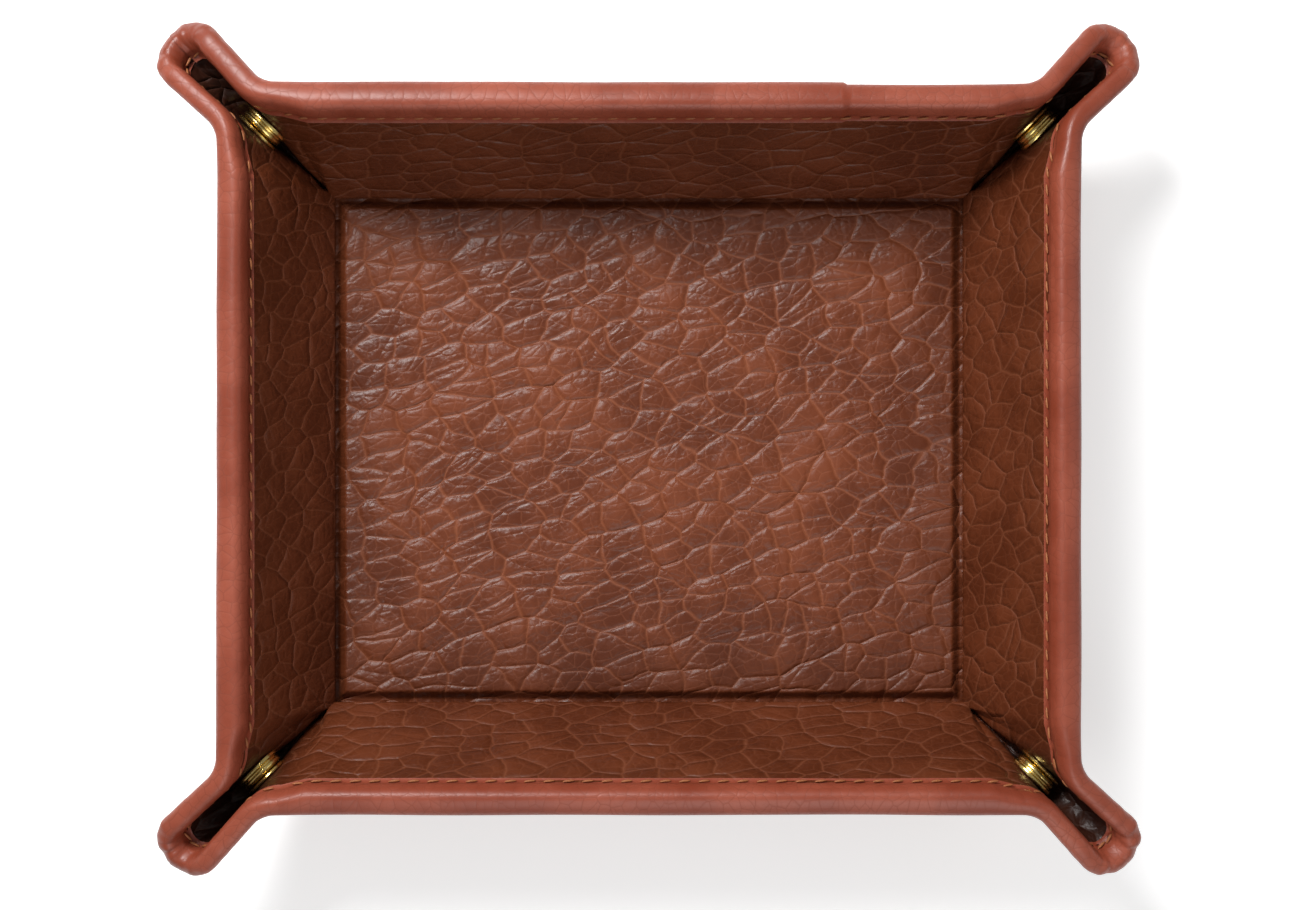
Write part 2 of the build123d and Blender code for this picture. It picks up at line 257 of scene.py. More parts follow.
def near_crease(tree, across, half, before, after):
    """From 0 before a crease of the flat hide to 1 after it, both given as distances past the crease."""
    return ramp_range(tree, reckon(tree, "ABSOLUTE", across), half + before, half + after)


def leather_material(name, deep, mid, crease, roughness, relief, coat, shine, cells_per_metre, stretch, slant,
                     painted_shade_depth=0.0):
    """A dyed hide: colour varies in patches, creases take their own colour, relief comes from the grain.
    Shade can also be painted in: darker near the floor's creases and past them, near-black in the pinched
    corners.
    """
    material = bpy.data.materials.new(name)
    material.use_nodes = True
    tree = material.node_tree
    shader = tree.nodes["Principled BSDF"]
    flat = add_node(tree, "ShaderNodeUVMap", uv_map="hide")
    grain = add_node(tree, "ShaderNodeGroup", node_tree=pebble)
    tree.links.new(flat.outputs["UV"], grain.inputs["Vector"])
    grain.inputs["Cells Per Metre"].default_value = cells_per_metre
    grain.inputs["Stretch"].default_value = stretch
    grain.inputs["Slant"].default_value = slant
    patch = ramp_range(tree, grain.outputs["Mottle"], 0.34, 0.68)
    colour = blend_colour(tree, patch, deep, mid)
    colour = blend_colour(tree, reckon(tree, "MULTIPLY", grain.outputs["Creases"], 0.5), colour, crease)
    # Painted shade: the colour blends 32% towards dark brown within 26 mm of the floor's creases, and fully
    # on the walls and corners past them, standing in for the walls' shade.
    if painted_shade_depth:
        square = add_node(tree, "ShaderNodeSeparateXYZ", [("Vector", flat.outputs["UV"])])
        crease_shade_x = near_crease(tree, square.outputs["X"], crease_length / 2, -painted_shade_reach, 0.0)
        crease_shade_y = near_crease(tree, square.outputs["Y"], crease_width / 2, -painted_shade_reach, 0.0)
        painted_crease_shade = reckon(tree, "MULTIPLY", reckon(tree, "MAXIMUM", crease_shade_x, crease_shade_y), 0.32)
        colour = blend_colour(tree, painted_crease_shade, colour, (0.040, 0.009, 0.003, 1))
        # Painted shade: where the flat hide lies past both creases, in the pinched corners, the colour turns
        # nearly black, standing in for the dark inside the pinches.
        corner_shade_x = near_crease(tree, square.outputs["X"], crease_length / 2, corner_shade_start, corner_shade_end)
        corner_shade_y = near_crease(tree, square.outputs["Y"], crease_width / 2, corner_shade_start, corner_shade_end)
        painted_corner_shade = reckon(tree, "MULTIPLY", reckon(tree, "MULTIPLY", corner_shade_x, corner_shade_y), painted_shade_depth)
        colour = blend_colour(tree, painted_corner_shade, colour, (0.010, 0.004, 0.003, 1))
    tree.links.new(colour, shader.inputs["Base Color"])
    gloss = ramp_range(tree, grain.outputs["Mottle"], 0.3, 0.7, roughness - 0.05, roughness + 0.07)
    dull = reckon(tree, "MULTIPLY_ADD", grain.outputs["Creases"], 0.15, gloss)
    tree.links.new(dull, shader.inputs["Roughness"])
    bump = add_node(tree, "ShaderNodeBump",
                    [("Strength", 1.0), ("Distance", relief), ("Height", grain.outputs["Height"])])
    tree.links.new(bump.outputs["Normal"], shader.inputs["Normal"])
    shader.inputs["Coat Weight"].default_value = coat
    shader.inputs["Coat Roughness"].default_value = 0.32
    shader.inputs["Specular IOR Level"].default_value = shine
    return material


# This lining carries painted shade near the creases and painted near-black shade in the pinched corners, at
# strength 0.8.
grained_lining = leather_material(
    "grained chestnut lining", (0.105, 0.023, 0.007, 1), (0.185, 0.044, 0.014, 1), (0.300, 0.090, 0.036, 1),
    roughness=0.38, relief=0.0011, coat=0.0, shine=0.34, cells_per_metre=205.0, stretch=0.66, slant=0.26,
    painted_shade_depth=0.8)
floor_hide = lay_panel("floor_grained_hide", 150, 120, floor_place, floor_flat)
give_thickness(floor_hide, floor_hide_thickness)
floor_hide.data.materials.append(grained_lining)
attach(floor_hide, "base")
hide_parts("floor_lining")

# Grained lining on the walls and in the pinched corners.
# The same hide runs up each slanting wall board and past its ends, where it has no board behind
# it: there it stands out as a fin, turns back on itself and meets the next wall's fin.
wall_slant = 0.039
wall_angle = radians(65.0)
wall_board_thickness = 0.0016
cover_thickness = 0.0014
flat_corner_radius = 0.015
view = radians(50.0)
fin_gap_share = 0.11
fin_bend_share = 0.22
run_per_degree = 0.001
corner_root = 0.007
fold_root = 0.015
half_corner = 45.0
wall_hide_thickness = 0.0009
way_out = {"front": Vector((0, -1, 0)), "rear": Vector((0, 1, 0)),
           "left": Vector((-1, 0, 0)), "right": Vector((1, 0, 0))}
upright = Vector((0, 0, 1))
diagonal = Vector((1, 1, 0)) / sqrt(2)
fin_side = Vector((1, -1, 0)) / sqrt(2)
view_axis = diagonal * cos(view) + upright * sin(view)
view_down = diagonal * sin(view) - upright * cos(view)
wall_up = Vector((cos(wall_angle), 0, sin(wall_angle)))
wall_normal = Vector((-sin(wall_angle), 0, cos(wall_angle)))


part_steps = 90


def corner_outline(straight_end):
    """Corner hide seen along its view axis: wall, bend, straight fin, and a quarter turn to the fold."""
    start_p = wall_up.dot(fin_side) / wall_up.dot(view_axis)
    start_q = wall_up.dot(view_down) / wall_up.dot(view_axis)
    wall_p = -wall_normal.dot(view_axis) / wall_normal.dot(fin_side)
    wall_slope = -wall_normal.dot(view_down) / wall_normal.dot(fin_side)
    lean = atan2(-wall_slope, 1)
    tangent = fin_bend_share * tan(lean / 2)
    meet_q = (fin_gap_share - wall_p) / wall_slope
    bend_p = fin_gap_share + tangent * sin(lean)
    bend_q = meet_q - tangent * cos(lean)
    fin_q = meet_q + tangent
    shares = [i / part_steps for i in range(part_steps + 1)]
    wall_part = [(start_p + (bend_p - start_p) * t, start_q + (bend_q - start_q) * t) for t in shares[:-1]]
    turns = [lean * (1 - t) for t in shares[:-1]]
    bend_part = [(fin_gap_share + fin_bend_share * (1 - cos(t)), fin_q - fin_bend_share * sin(t))
                 for t in turns]
    fin_part = [(fin_gap_share, fin_q + (straight_end - fin_q) * t) for t in shares[:-1]]
    fold_part = [(fin_gap_share * cos(t * pi / 2), straight_end + fin_gap_share * sin(t * pi / 2))
                 for t in shares]
    corner_rays = [(view_axis + fin_side * p + view_down * q).normalized()
                   for p, q in wall_part + bend_part + fin_part + fold_part]
    used = [0.0]
    for one, two in zip(corner_rays, corner_rays[1:]):
        used.append(used[-1] + degrees(acos(min(1.0, one.dot(two)))))
    return corner_rays, used


shortest, longest = 0.0, 0.5
for attempt in range(30):
    middle = (shortest + longest) / 2
    if corner_outline(middle)[1][-1] < half_corner:
        shortest = middle
    else:
        longest = middle
corner_rays, used_angles = corner_outline(longest)
bend_start, bend_end, fold_start = (used_angles[part_steps * k] for k in (1, 2, 3))
fin_hinge = used_angles[round(1.5 * part_steps)]
fold_hinge = used_angles[round(3.5 * part_steps)]


def corner_ray(angle):
    """Direction out from the crease corner, lining-side normal, and the way on round the corner."""
    last = len(used_angles) - 2
    i = min(last, max(1, next((k for k, used in enumerate(used_angles) if used >= angle), last)))
    share = (angle - used_angles[i - 1]) / (used_angles[i] - used_angles[i - 1])
    ray = corner_rays[i - 1].lerp(corner_rays[i], share).normalized()
    onward = (corner_rays[i + 1] - corner_rays[i - 1]).normalized()
    normal = ray.cross(onward).normalized()
    return ray, normal, normal.cross(ray)


rays_per_degree = 20
ray_table = [corner_ray(k / rays_per_degree) for k in range(round(half_corner * rays_per_degree) + 1)]


def wall_half(wall):
    return (crease_width if wall in ("left", "right") else crease_length) / 2


def wall_foot(wall):
    off = (crease_length if wall in ("left", "right") else crease_width) / 2
    return way_out[wall] * off + upright * hinge_height


def way_along(wall):
    return Vector((way_out[wall].y, -way_out[wall].x, 0))


def past_end(wall, run):
    """How far round the corner a run along the wall has gone, in degrees of the flat hide."""
    return max(0.0, abs(run) - wall_half(wall)) / run_per_degree


def rim_at(angle):
    turn = radians(min(angle, half_corner))
    if tan(turn) <= (wall_slant - flat_corner_radius) / wall_slant:
        return wall_slant / cos(turn)
    to_centre = (wall_slant - flat_corner_radius) * sqrt(2)
    off = to_centre * sin(pi / 4 - turn)
    return to_centre * cos(pi / 4 - turn) + sqrt(flat_corner_radius**2 - off**2)


def corner_frame(wall, run):
    """Ray, normal and onward way at a run past the wall's end, in the tray."""
    end = 1 if run > 0 else -1
    along = way_along(wall) * end
    place = ray_table[min(len(ray_table) - 1, round(past_end(wall, run) * rays_per_degree))]
    return [way_out[wall] * v.x + along * v.y + upright * v.z for v in place]


def spot(wall, run, rise, off):
    """A point of the hide: run along the wall, rise from its crease, off towards the lining."""
    if past_end(wall, run) > 0:
        ray, normal, onward = corner_frame(wall, run)
        edge = wall_half(wall) * (1 if run > 0 else -1)
        return wall_foot(wall) + way_along(wall) * edge + ray * rise + normal * off
    up = way_out[wall] * cos(wall_angle) + upright * sin(wall_angle)
    normal = upright * cos(wall_angle) - way_out[wall] * sin(wall_angle)
    return wall_foot(wall) + way_along(wall) * run + up * rise + normal * off


def thinned(rise, angle):
    """Hides pinch thin towards the crease corner, where they crowd together."""
    turned = min(1.0, max(0.0, (angle - bend_start) / (bend_end - bend_start)))
    root = corner_root + (fold_root - corner_root) * turned
    return 1 - (1 - min(1.0, rise / root)) * min(1.0, angle / bend_start)


def lining_off(rise, angle):
    board = wall_board_thickness * max(0.0, 1 - angle / bend_start) * ease(groove_start, groove_end, rise)
    return board + lining_thickness * thinned(rise, angle)


def wall_rise(wall, run, share, start):
    angle = past_end(wall, run)
    low = start * (1 - min(1.0, angle / bend_start))
    return low + (rim_at(angle) - low) * (0.35 * share + 0.65 * share * share)


def hide_flat(wall, run, rise):
    """Where a point of wall or corner lies in the flat hide."""
    angle = radians(past_end(wall, run))
    end = 1 if run > 0 else -1
    along = min(abs(run), wall_half(wall)) + rise * sin(angle)
    flat = wall_foot(wall) + way_out[wall] * rise * cos(angle) + way_along(wall) * along * end
    return flat.x, flat.y


def lining_panel(name, wall, first_run, last_run, columns, rows):
    def run_at(across):
        return first_run + (last_run - first_run) * across

    def place(across, up):
        run = run_at(across)
        rise = wall_rise(wall, run, up, mitre_inset)
        soft = 0.00022 * noise.noise(Vector((run * 80, rise * 80, 7.0)))
        swell = soft * ease(groove_end, soft_start, rise)
        return spot(wall, run, rise, lining_off(rise, past_end(wall, run)) + swell)

    def flat(across, up):
        run = run_at(across)
        return hide_flat(wall, run, wall_rise(wall, run, up, mitre_inset))

    piece = lay_panel(name, columns, rows, place, flat)
    give_thickness(piece, wall_hide_thickness)
    piece.data.materials.append(grained_lining)
    return piece


def corner_name(wall, end):
    point = wall_foot(wall) + way_along(wall) * end
    return f"{'rear' if point.y > 0 else 'front'}_{'right' if point.x > 0 else 'left'}"


# Each wall's corner halves: the wall, its end, where the place's nodes get their names
corner_halves = [(wall, end, f"{corner_name(wall, end * wall_half(wall))}_{wall}")
                 for wall in way_out for end in (-1, 1)]


def bend_round(piece, wall, end, hinge_angle):
    """Bake the piece's placement into its mesh; the crease running out from the crease corner at this angle
    is worked out but not used, so the piece does not bend.
    """
    run = end * (wall_half(wall) + hinge_angle * run_per_degree)
    onward = corner_frame(wall, run)[2]
    crease = spot(wall, run, 0.03, 0.0)
    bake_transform(piece)


def ride_fin(piece, wall, end):
    bend_round(piece, wall, end, fin_hinge)


def ride_fold(piece, wall, end):
    bend_round(piece, wall, end, fold_hinge)


def wall_bend(piece, wall, height):
    """Bake the piece's placement into its mesh; two points at the wall's crease are worked out but not used,
    so the piece does not bend.
    """
    spot(wall, 0, mitre_inset, height)
    spot(wall, 0, 0.0032, height)
    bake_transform(piece)


def half_runs(wall, end, first_angle, last_angle):
    """Runs between two angles round a corner, in the order that keeps the faces outwards."""
    runs = [end * (wall_half(wall) + angle * run_per_degree) for angle in (first_angle, last_angle)]
    return sorted(runs)


for wall in way_out:
    reach = wall_half(wall) + bend_start * run_per_degree
    piece = lining_panel(f"{wall}_grained_hide", wall, -reach, reach, 150, 54)
    wall_bend(piece, wall, lining_thickness)
    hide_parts(f"{wall}_lining")
for wall, end, place in corner_halves:
    low, high = half_runs(wall, end, bend_start, fold_start)
    piece = lining_panel(f"fin_grained_{place}", wall, low, high, 40, 54)
    ride_fin(piece, wall, end)
    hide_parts(f"fin_{place}")
    low, high = half_runs(wall, end, fold_start, half_corner)
    piece = lining_panel(f"fold_grained_{place}", wall, low, high, 20, 54)
    ride_fold(piece, wall, end)
    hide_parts(f"fold_{place}")

# Smooth cover hide on the outside.
# A finer, flatter hide covers the tray's underside and the backs of walls and corners. It is
# glued to the boards, and to the back of the lining where there is no board.
smooth_cover = leather_material(
    "smooth chestnut cover", (0.13, 0.032, 0.018, 1), (0.21, 0.055, 0.030, 1), (0.10, 0.028, 0.017, 1),
    roughness=0.42, relief=0.00028, coat=0.12, shine=0.4, cells_per_metre=420.0, stretch=0.8, slant=0.2)
bend_rows = 8
cover_rows = 40
underside_thickness = 0.0012


def cover_flat_floor(across, up):
    return (across - 0.5) * crease_length, (up - 0.5) * crease_width


def cover_place_floor(across, up):
    x, y = cover_flat_floor(across, up)
    return Vector((x, y, 0.0))


base_cover = lay_panel("underside_cover_hide", 40, 32, cover_place_floor, cover_flat_floor, turn_over=True)
give_thickness(base_cover, underside_thickness)
base_cover.data.materials.append(smooth_cover)
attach(base_cover, "base")
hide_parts("floor_cover")


def cover_panel(name, wall, first_run, last_run, columns):
    def run_at(across):
        return first_run + (last_run - first_run) * across

    def place(across, up):
        run = run_at(across)
        angle = past_end(wall, run)
        row = up * cover_rows
        if row >= bend_rows:
            share = (row - bend_rows) / (cover_rows - bend_rows)
            rise = rim_at(angle) * (0.4 * share + 0.6 * share * share)
            return spot(wall, run, rise, -cover_thickness * thinned(rise, angle))
        heel = spot(wall, run, 0.0, 0.0)
        back = heel - spot(wall, run, 0.0, cover_thickness * thinned(0.0, angle))
        under = upright * -back.length
        return heel + under.lerp(back, row / bend_rows).normalized() * back.length

    def flat(across, up):
        return hide_flat(wall, run_at(across), rim_at(0.0) * up)

    piece = lay_panel(name, columns, cover_rows, place, flat, turn_over=True)
    give_thickness(piece, wall_hide_thickness)
    piece.data.materials.append(smooth_cover)
    return piece


for wall in way_out:
    reach = wall_half(wall) + bend_start * run_per_degree
    piece = cover_panel(f"{wall}_cover_hide", wall, -reach, reach, 120)
    spot(wall, 0, -0.0006, 0)
    spot(wall, 0, 0.0014, 0)
    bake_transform(piece)
    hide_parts(f"{wall}_cover")
for wall, end, place in corner_halves:
    low, high = half_runs(wall, end, bend_start, fold_start)
    piece = cover_panel(f"fin_cover_{place}", wall, low, high, 36)
    ride_fin(piece, wall, end)
    low, high = half_runs(wall, end, fold_start, half_corner)
    piece = cover_panel(f"fold_cover_{place}", wall, low, high, 20)
    ride_fold(piece, wall, end)

# Boards inside.
# A floor board and four wall boards of pressed fibre lie between the two hides, and keep the
# tray's shape. Their edges are eased so that they don't cut the leather.
board_inset = 0.003
board_rim_inset = 0.0015
board_ease = 0.0004
board_end_play = 0.001
floor_board_play = 0.0001
wall_board_play = 0.0002
fibre_board = bpy.data.materials.new("pressed fibre board")
fibre_board.use_nodes = True
tree = fibre_board.node_tree
inside = add_node(tree, "ShaderNodeTexCoord")
fibres = add_node(tree, "ShaderNodeTexNoise",
                  [("Vector", inside.outputs["Object"]), ("Scale", 900.0), ("Detail", 4.0)])
tone = blend_colour(tree, fibres.outputs["Fac"], (0.20, 0.14, 0.09, 1), (0.36, 0.28, 0.19, 1))
tree.links.new(tone, tree.nodes["Principled BSDF"].inputs["Base Color"])
tree.nodes["Principled BSDF"].inputs["Roughness"].default_value = 0.9


def board_piece(name, node, body, middle, ways, sizes):
    slab = bmesh.new()
    bmesh.ops.create_cube(slab, size=1.0)
    for vert in slab.verts:
        steps = (way * size * step for way, size, step in zip(ways, sizes, vert.co))
        vert.co = middle + sum(steps, Vector())
    bmesh.ops.recalc_face_normals(slab, faces=slab.faces)
    bmesh.ops.bevel(slab, geom=slab.edges, offset=board_ease, segments=2, profile=0.5, affect="EDGES",
                    material=-1)
    piece = add_piece(name, slab)
    piece.data.materials.append(fibre_board)
    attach(piece, body)
    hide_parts(node)


board_piece("floor_stiffener", "floor_board", "base", upright * (hinge_height + floor_board_thickness / 2),
            (Vector((1, 0, 0)), Vector((0, 1, 0)), upright),
            (crease_length - 2 * board_inset, crease_width - 2 * board_inset,
             floor_board_thickness - floor_board_play))
for wall in way_out:
    rise = (board_inset + wall_slant - board_rim_inset) / 2
    middle = spot(wall, 0, rise, wall_board_thickness / 2)
    up = (spot(wall, 0, 1, 0) - spot(wall, 0, 0, 0)).normalized()
    normal = (spot(wall, 0, 0, 1) - spot(wall, 0, 0, 0)).normalized()
    board_piece(f"{wall}_stiffener", f"{wall}_board", f"{wall}_wall", middle, (way_along(wall), up, normal),
                (2 * wall_half(wall) - board_end_play, wall_slant - board_rim_inset - board_inset,
                 wall_board_thickness - wall_board_play))

# Edge binding.
# A strip of smooth leather is folded over the raw edges of both hides, right round the rim and
# the pinched corners. It puckers where it turns tightly, and its ends lap on the rear wall.
binding_thickness = 0.0009
binding_crown = 0.0012
binding_depth = 0.0056
lap_run = 0.0402
binding_columns = 0.0008
section_rows = 22
fewest_columns = 36
strip_thickness = 0.0007
rim_radius = 0.042
strip_width = 0.017
strip_share = 0.3
shoulder_inset = 0.0014
edge_sink = 0.00055


def binding_off(wall, run):
    """Lining-side and cover-side faces under the binding, as offsets."""
    return lining_off(wall_slant, past_end(wall, run)), -cover_thickness


def strip_run(wall, run):
    """Length along the strip, with the corner's degrees turned into length."""
    angle = past_end(wall, run)
    return min(abs(run), wall_half(wall)) + radians(angle) * rim_radius


def pucker(wall, run, share):
    """Small pleats of the strip, strongest at the fold, and a slow unevenness along the rim."""
    angle = past_end(wall, run)
    length = strip_run(wall, run) * (1 if run > 0 else -1)
    slow = 0.00022 * noise.noise(Vector((length * 45, share * 1.5, len(wall) * 3.1)))
    tight = ease(20, 38, angle)
    pleat = 0.00034 * tight * noise.noise(Vector((length * 620, share * 2.2, len(wall) * 1.7)))
    return slow + pleat


def binding_place(wall, run, share):
    """Round the strip's section, from its lining-side edge over the rim to its cover-side edge."""
    angle = past_end(wall, run)
    high, low = binding_off(wall, run)
    reach = rim_at(angle)
    inner = reach - binding_depth
    lapped = 0.0004 if wall == "rear" and run < lap_run else 0.0
    puff = binding_thickness + lapped
    middle = (high + low) / 2
    half = (high - low) / 2 + puff
    crown = binding_crown + lapped
    turn = pi * min(1.0, max(0.0, (share - strip_share) / (1 - 2 * strip_share)))
    roll = cos(turn)
    squared = (abs(roll) ** 0.72) * (1 if roll > 0 else -1)
    bulge = abs(sin(turn)) ** 0.72
    shoulder = reach - shoulder_inset
    out = shoulder + (crown + shoulder_inset) * bulge
    off = middle + half * squared
    if share < strip_share:
        t = share / strip_share
        out = inner + (shoulder - inner) * t
        sink = edge_sink * (1 - ease(0.0, 0.9, t))
        off = middle + half - sink - 0.00035 * ease(0.45, 0.3, abs(t - 0.3) + 0.15)
    elif share > 1 - strip_share:
        t = (1 - share) / strip_share
        out = inner + (shoulder - inner) * t
        off = middle - half + edge_sink * (1 - ease(0.0, 0.9, t))
    ripple = pucker(wall, run, share)
    return spot(wall, run, out + ripple * bulge, off + ripple * squared * 0.6)


def binding_panel(name, wall, first_run, last_run):
    columns = max(fewest_columns, round((last_run - first_run) / binding_columns))

    def run_at(across):
        return first_run + (last_run - first_run) * across

    def place(across, up):
        return binding_place(wall, run_at(across), up)

    def flat(across, up):
        run = run_at(across)
        return strip_run(wall, run) * (1 if run > 0 else -1) + 0.4 * len(wall), up * strip_width

    piece = lay_panel(name, columns, section_rows, place, flat)
    give_thickness(piece, strip_thickness)
    piece.data.materials.append(edge_leather)
    return piece


edge_leather = leather_material(
    "polished rim leather", (0.225, 0.040, 0.017, 1), (0.34, 0.077, 0.040, 1), (0.19, 0.036, 0.014, 1),
    roughness=0.44, relief=0.00008, coat=0.10, shine=0.45, cells_per_metre=520.0, stretch=0.9, slant=0.1)
for wall in way_out:
    reach = wall_half(wall) + bend_start * run_per_degree
    piece = binding_panel(f"{wall}_rim_binding", wall, -reach, reach)
    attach(piece, f"{wall}_wall")
    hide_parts(f"{wall}_binding")
for wall, end, place in corner_halves:
    low, high = half_runs(wall, end, bend_start, fold_start)
    piece = binding_panel(f"fin_rim_{place}", wall, low, high)
    ride_fin(piece, wall, end)
    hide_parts(f"fin_binding_{place}")
    low, high = half_runs(wall, end, fold_start, half_corner)
    piece = binding_panel(f"fold_rim_{place}", wall, low, high)
    ride_fold(piece, wall, end)

# Saddle stitching.
# Waxed tan thread is sewn through the strip and both hides, four millimetres a stitch, close
# to the strip's inner edge. Each stitch dips into its holes and slants a little.
stitch_pitch = 0.004
stitch_length = 0.0025
thread_radius = 0.00030
stitch_inset = 0.0043
stitch_slant = 0.00022
thread_sink = 0.00042
waxed_thread = bpy.data.materials.new("waxed tan thread")
waxed_thread.use_nodes = True
tree = waxed_thread.node_tree
thread_place = add_node(tree, "ShaderNodeTexCoord")
strands = add_node(tree, "ShaderNodeTexNoise",
                   [("Vector", thread_place.outputs["Object"]), ("Scale", 2600.0), ("Detail", 2.0)])
tone = blend_colour(tree, strands.outputs["Fac"], (0.24, 0.070, 0.022, 1), (0.46, 0.165, 0.055, 1))
tree.links.new(tone, tree.nodes["Principled BSDF"].inputs["Base Color"])
twist = add_node(tree, "ShaderNodeBump",
                 [("Strength", 0.7), ("Distance", 0.0001), ("Height", strands.outputs["Fac"])])
tree.links.new(twist.outputs["Normal"], tree.nodes["Principled BSDF"].inputs["Normal"])
tree.nodes["Principled BSDF"].inputs["Roughness"].default_value = 0.6


def stitch_row(name, wall, first_run, last_run):
    """Sew the stitches whose middles lie between two runs, on the lining side and the cover side."""
    sewn = bmesh.new()
    spacing = stitch_pitch
    run = first_run
    while run < last_run:
        angle = past_end(wall, run + spacing / 2)
        if angle > 0:
            spacing = degrees(stitch_pitch / (rim_at(angle) - stitch_inset)) * run_per_degree
        else:
            spacing = stitch_pitch
        middle_run = run + spacing / 2
        if middle_run > last_run:
            break
        rise = rim_at(past_end(wall, middle_run)) - stitch_inset
        high, low = binding_off(wall, middle_run)
        step = spacing * 0.01
        ahead = spot(wall, middle_run + step, rise, 0)
        along = (ahead - spot(wall, middle_run - step, rise, 0)).normalized()
        seat = binding_thickness - thread_sink
        for off, facing in ((high + seat, 1), (low - seat, -1)):
            centre = spot(wall, middle_run, rise, off)
            normal = (spot(wall, middle_run, rise, off + 0.001) - centre).normalized() * facing
            across = normal.cross(along)
            made = bmesh.ops.create_uvsphere(sewn, u_segments=8, v_segments=5, radius=1.0)["verts"]
            for vert in made:
                t = vert.co.z
                lean = across * (t * stitch_slant)
                arch = normal * (thread_radius * 0.35 * (1 - t * t))
                body = across * vert.co.x * thread_radius + normal * vert.co.y * thread_radius * 0.8
                vert.co = centre + along * t * stitch_length / 2 + lean + arch + body
        run += spacing
    bmesh.ops.recalc_face_normals(sewn, faces=sewn.faces)
    for face in sewn.faces:
        face.smooth = True
    piece = add_piece(name, sewn)
    piece.data.materials.append(waxed_thread)
    return piece


for wall in way_out:
    reach = wall_half(wall) + bend_start * run_per_degree
    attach(stitch_row(f"{wall}_saddle_stitch", wall, -reach, reach), f"{wall}_wall")
for wall, end, place in corner_halves:
    low, high = half_runs(wall, end, bend_start, fold_start)
    piece = stitch_row(f"fin_stitch_{place}", wall, low, high)
    ride_fin(piece, wall, end)
    low, high = half_runs(wall, end, fold_start, half_corner)
    piece = stitch_row(f"fold_stitch_{place}", wall, low, high)
    ride_fold(piece, wall, end)

# Press studs.
# Each corner closes with one press stud of stamped and polished brass. A domed cap is riveted
# through one fin to its socket, and a hollow post through the other fin to its stud.
snap_reach = 0.0167
snap_height = 0.0199
snap_steps = 56
# Half sections, in millimetres: distance from the corner's plane of symmetry, and radius
snap_sections = {
    "socket": [(1.85, 1.35), (1.85, 4.9), (1.74, 5.2), (1.45, 5.3), (1.1, 5.26), (0.88, 5.0), (0.74, 4.62),
               (0.52, 4.6), (0.36, 4.78), (0.0, 4.84), (-0.4, 4.76), (-0.7, 4.5), (-0.85, 4.1), (-0.85, 3.5),
               (-0.72, 3.1), (-0.4, 2.9), (1.25, 2.9), (1.25, 1.35)],
    "stud": [(1.15, 0.0), (1.15, 1.35), (1.85, 1.35), (1.85, 4.8), (1.76, 5.08), (1.5, 5.2), (1.24, 5.12),
             (1.08, 4.85), (1.05, 3.0), (0.95, 2.1), (0.55, 1.82), (0.2, 1.9), (-0.1, 2.16), (-0.4, 2.24),
             (-0.64, 2.05), (-0.75, 1.6), (-0.75, 0.0)],
    "cap": [(1.25, 0.0), (1.25, 1.3), (3.908, 1.3), (3.908, 5.9), (3.98, 6.18), (4.2, 6.3), (4.5, 6.24),
            (4.9, 5.9), (5.3, 5.2), (5.6, 4.2), (5.8, 2.8), (5.88, 1.4), (5.908, 0.0)],
    "post": [(1.05, 0.0), (1.05, 1.3), (3.908, 1.3), (3.908, 4.6), (4.0, 4.84), (4.25, 4.9), (4.55, 4.76),
             (4.76, 4.3), (4.8, 3.4), (4.72, 2.2), (4.5, 1.5), (4.2, 1.2), (4.0, 0.0)],
}
polished_brass = bpy.data.materials.new("polished stamped brass")
polished_brass.use_nodes = True
tree = polished_brass.node_tree
shader = tree.nodes["Principled BSDF"]
stud_place = add_node(tree, "ShaderNodeTexCoord")
scratches = add_node(
    tree, "ShaderNodeTexNoise",
    [("Vector", stud_place.outputs["Object"]), ("Scale", 1500.0), ("Detail", 4.0), ("Distortion", 1.5)])
tarnish = add_node(tree, "ShaderNodeTexNoise",
                   [("Vector", stud_place.outputs["Object"]), ("Scale", 260.0), ("Detail", 3.0)])
dulled = ramp_range(tree, tarnish.outputs["Fac"], 0.4, 0.7)
tone = blend_colour(tree, dulled, (0.86, 0.66, 0.24, 1), (0.62, 0.42, 0.13, 1))
tree.links.new(tone, shader.inputs["Base Color"])
tree.links.new(ramp_range(tree, scratches.outputs["Fac"], 0.3, 0.7, 0.16, 0.30), shader.inputs["Roughness"])
rub = add_node(tree, "ShaderNodeBump",
               [("Strength", 0.25), ("Distance", 0.00004), ("Height", scratches.outputs["Fac"])])
tree.links.new(rub.outputs["Normal"], shader.inputs["Normal"])
shader.inputs["Metallic"].default_value = 1.0


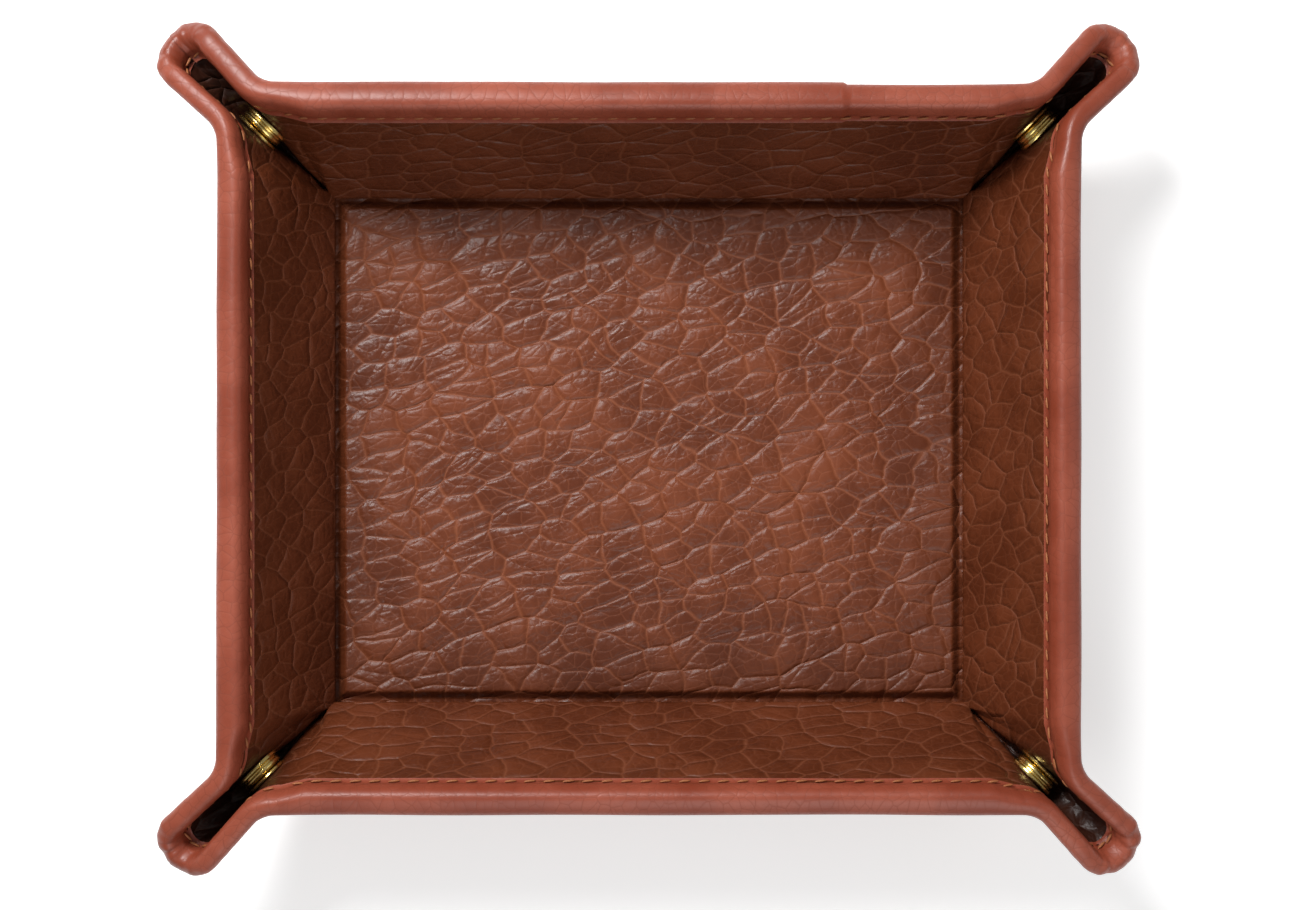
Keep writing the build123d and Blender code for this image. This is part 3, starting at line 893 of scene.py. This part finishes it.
def turned_brass(kind, corner):
    """Turn a half section about the press stud's axis, square to the corner's plane of symmetry."""
    node = f"snap_{kind}_{corner}"
    body = next(name for name, nodes in frame["record"]["behaviour"]["bodies"].items() if node in nodes)
    side = way_out[body.split("_")[2]]
    way = (way_out[corner.split("_")[0]] + way_out[corner.split("_")[1]]).normalized()
    foot = Vector((way.x * crease_length, way.y * crease_width, 0)) / sqrt(2) + upright * hinge_height
    centre = foot + way * snap_reach + upright * snap_height
    axis = (side - way * way.dot(side)).normalized()
    turned = bmesh.new()
    points = [turned.verts.new(centre + (axis * off + upright * radius) / 1000)
              for off, radius in snap_sections[kind]]
    if kind == "socket":
        points.append(points[0])
    edges = [turned.edges.new(pair) for pair in zip(points, points[1:])]
    bmesh.ops.spin(turned, geom=turned.verts[:] + edges, cent=centre, axis=axis, dvec=(0, 0, 0),
                   angle=2 * pi, steps=snap_steps, use_merge=True, use_duplicate=False)
    bmesh.ops.remove_doubles(turned, verts=turned.verts, dist=0.000005)
    bmesh.ops.recalc_face_normals(turned, faces=turned.faces)
    for face in turned.faces:
        face.smooth = True
    for edge in turned.edges:
        edge.smooth = edge.calc_face_angle(0.0) < radians(40)
    piece = add_piece(f"brass_{kind}_{corner}", turned)
    piece.data.materials.append(polished_brass)
    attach(piece, body)
    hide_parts(node)


for corner in ("front_left", "front_right", "rear_left", "rear_right"):
    for kind in snap_sections:
        turned_brass(kind, corner)

# The table it is photographed on.
# A white sheet runs under the tray. A big soft window of light stands behind it to the left,
# with weak light from everywhere else, and the camera looks straight down.
sheet = bmesh.new()
bmesh.ops.create_grid(sheet, x_segments=1, y_segments=1, size=3.0)
white_sheet = add_piece("white_sheet", sheet)
white_paper = bpy.data.materials.new("white paper")
white_paper.use_nodes = True
tree = white_paper.node_tree
shader = tree.nodes["Principled BSDF"]
shader.inputs["Base Color"].default_value = (0.84, 0.84, 0.84, 1)
shader.inputs["Roughness"].default_value = 0.9
rays = add_node(tree, "ShaderNodeLightPath")
seen = reckon(tree, "MAXIMUM", rays.outputs["Is Camera Ray"], rays.outputs["Is Glossy Ray"])
seen = reckon(tree, "MAXIMUM", seen, rays.outputs["Is Transmission Ray"])
glow = blend_colour(tree, seen, (0, 0, 0, 1), (0.42, 0.42, 0.42, 1))
tree.links.new(glow, shader.inputs["Emission Color"])
shader.inputs["Emission Strength"].default_value = 1.0
white_sheet.data.materials.append(white_paper)

world = bpy.data.worlds.new("soft room")
bpy.context.scene.world = world
world.use_nodes = True
tree = world.node_tree
background = tree.nodes["Background"]
rays = add_node(tree, "ShaderNodeLightPath")
seen = reckon(tree, "MAXIMUM", rays.outputs["Is Camera Ray"], rays.outputs["Is Transmission Ray"])
tone = blend_colour(tree, seen, (0.26, 0.26, 0.26, 1), (1, 1, 1, 1))
tree.links.new(tone, background.inputs["Color"])


def soft_light(name, place, aim, width, power):
    lamp = bpy.data.lights.new(name, "AREA")
    lamp.shape = "SQUARE"
    lamp.size = width
    lamp.energy = power
    holder = bpy.data.objects.new(name, lamp)
    holder.location = place
    holder.rotation_euler = (Vector(aim) - Vector(place)).to_track_quat("-Z", "Y").to_euler()
    bpy.context.scene.collection.objects.link(holder)


soft_light("window", (-0.27, 0.43, 0.56), (0, 0, 0.02), 0.26, 6.2)
soft_light("side_window", (0.62, 0.05, 0.40), (0, 0, 0.02), 0.40, 0.25)
soft_light("room_light", (0.10, -0.60, 0.60), (0, 0, 0.02), 0.50, 2.2)

lens = bpy.data.cameras.new("overhead camera")
lens.lens = 54.17
lens.sensor_width = 36.0
camera = bpy.data.objects.new("overhead camera", lens)
camera.location = (0.00022, -0.0011, 0.438)
bpy.context.scene.collection.objects.link(camera)
bpy.context.scene.camera = camera
bpy.context.scene.view_settings.view_transform = "Standard"
